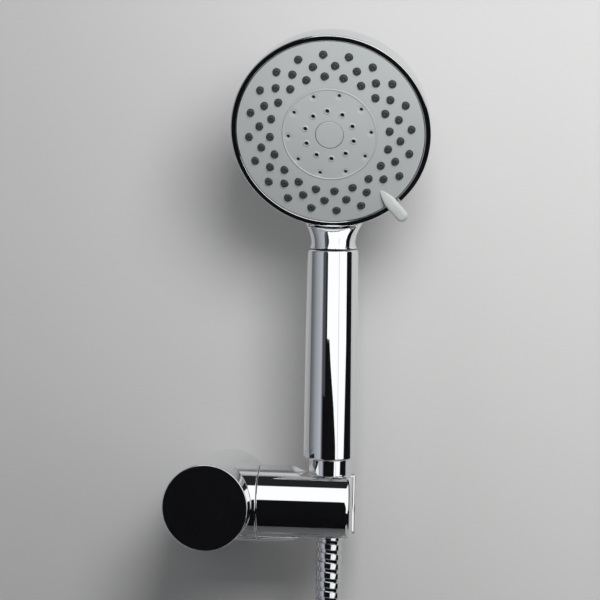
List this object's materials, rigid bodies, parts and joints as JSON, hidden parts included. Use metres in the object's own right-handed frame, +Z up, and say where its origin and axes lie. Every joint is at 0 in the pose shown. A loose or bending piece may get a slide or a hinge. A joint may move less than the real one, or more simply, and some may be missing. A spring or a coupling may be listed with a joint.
{
  "type": "handheld shower head",
  "caption": "Chrome handheld shower head with a grey spray face, on a tilting wall holder, with its metal hose",
  "frame": {"origin": "centre of the wall tube's face, on the wall plane Y = 0", "axes": "+X runs along the holder arm, +Y into the wall, +Z up"},
  "size_m": [0.145, 0.1445, 0.6251],
  "materials": {
    "chromed_brass": "mirror-bright chrome plating",
    "chromed_plastic": "mirror-bright chrome plating on moulded plastic",
    "steel": "plain machined steel",
    "brass": "plain machined brass",
    "white_plastic": "moulded, unpainted",
    "grey_plastic": "satin mid grey",
    "lever_plastic": "satin light grey",
    "silicone": "soft dark silicone",
    "rubber": "soft black rubber",
    "hose_chrome": "bright interlocked metal strip over a rubber tube"
  },
  "bodies": {
    "bracket": {"bracket_body": "chromed_brass", "pivot_bush": "white_plastic", "wall_plate": "steel", "wall_screw_left": "steel", "wall_screw_right": "steel", "wall_plug_left": "white_plastic", "wall_plug_right": "white_plastic", "grub_screw": "steel"},
    "holder": {"holder_arm": "chromed_brass", "friction_ring": "rubber", "pivot_bolt": "steel", "pivot_washer": "steel", "pivot_spring_washer": "steel"},
    "hose_end": {"hose_swivel": "brass"},
    "handset": {"cone_nut": "chromed_brass", "sealing_washer": "rubber", "threaded_connector": "brass", "flow_restrictor": "white_plastic", "inlet_strainer": "steel", "connector_o_ring": "rubber", "handle_sleeve": "chromed_brass", "water_tube": "white_plastic", "head_shell": "chromed_plastic", "port_plate": "white_plastic", "spindle_seal": "rubber", "detent_ball": "steel", "detent_spring": "steel", "centre_screw": "steel"},
    "spray_face": {"spray_body": "white_plastic", "nozzle_mat": "silicone", "face_plate": "grey_plastic", "face_insert": "grey_plastic", "centre_cap": "grey_plastic", "bezel_ring": "chromed_brass", "selector_lever": "lever_plastic"},
    "hose_hang": {"hose": "hose_chrome", "hose_hank": "hose_chrome", "hank_tie_left": "rubber", "hank_tie_right": "rubber", "hose_tail": "hose_chrome", "hose_end_crimp": "chromed_brass", "hose_end_washer": "rubber"},
    "wall_end_nut": {"hose_end_nut": "chromed_brass"}
  },
  "joints": [
    {"name": "holder_tilt", "type": "hinge", "parent": "bracket", "child": "holder", "pos_m": [0, -0.0624, 0], "axis": [1, 0, 0], "range_deg": [-12, 45]},
    {"name": "handset_lift", "type": "slide", "parent": "holder", "child": "hose_end", "axis": [0, -0.064, 0.9979], "range_m": [0, 0.036]},
    {"name": "handset_turn", "type": "hinge", "parent": "hose_end", "child": "handset", "pos_m": [0.0637, -0.0624, 0], "axis": [0, -0.064, 0.9979], "continuous": true},
    {"name": "spray_select", "type": "hinge", "parent": "handset", "child": "spray_face", "pos_m": [0.0637, -0.09554, 0.20109], "axis": [0, -0.9386, -0.345], "range_deg": [0, 80]},
    {"name": "hose_hang", "type": "hinge", "parent": "hose_end", "child": "hose_hang", "pos_m": [0.0637, -0.06132, -0.01687], "axis": [1, 0, 0], "range_deg": [-45, 12], "deforming": ["hose"]},
    {"name": "wall_end_nut_spin", "type": "hinge", "parent": "hose_hang", "child": "wall_end_nut", "pos_m": [0.0637, -0.03132, -0.36], "axis": [0, 0, 1], "continuous": true}
  ],
  "couplings": [
    {"joint": "hose_hang", "follows": "holder_tilt", "ratio": -1}
  ]
}
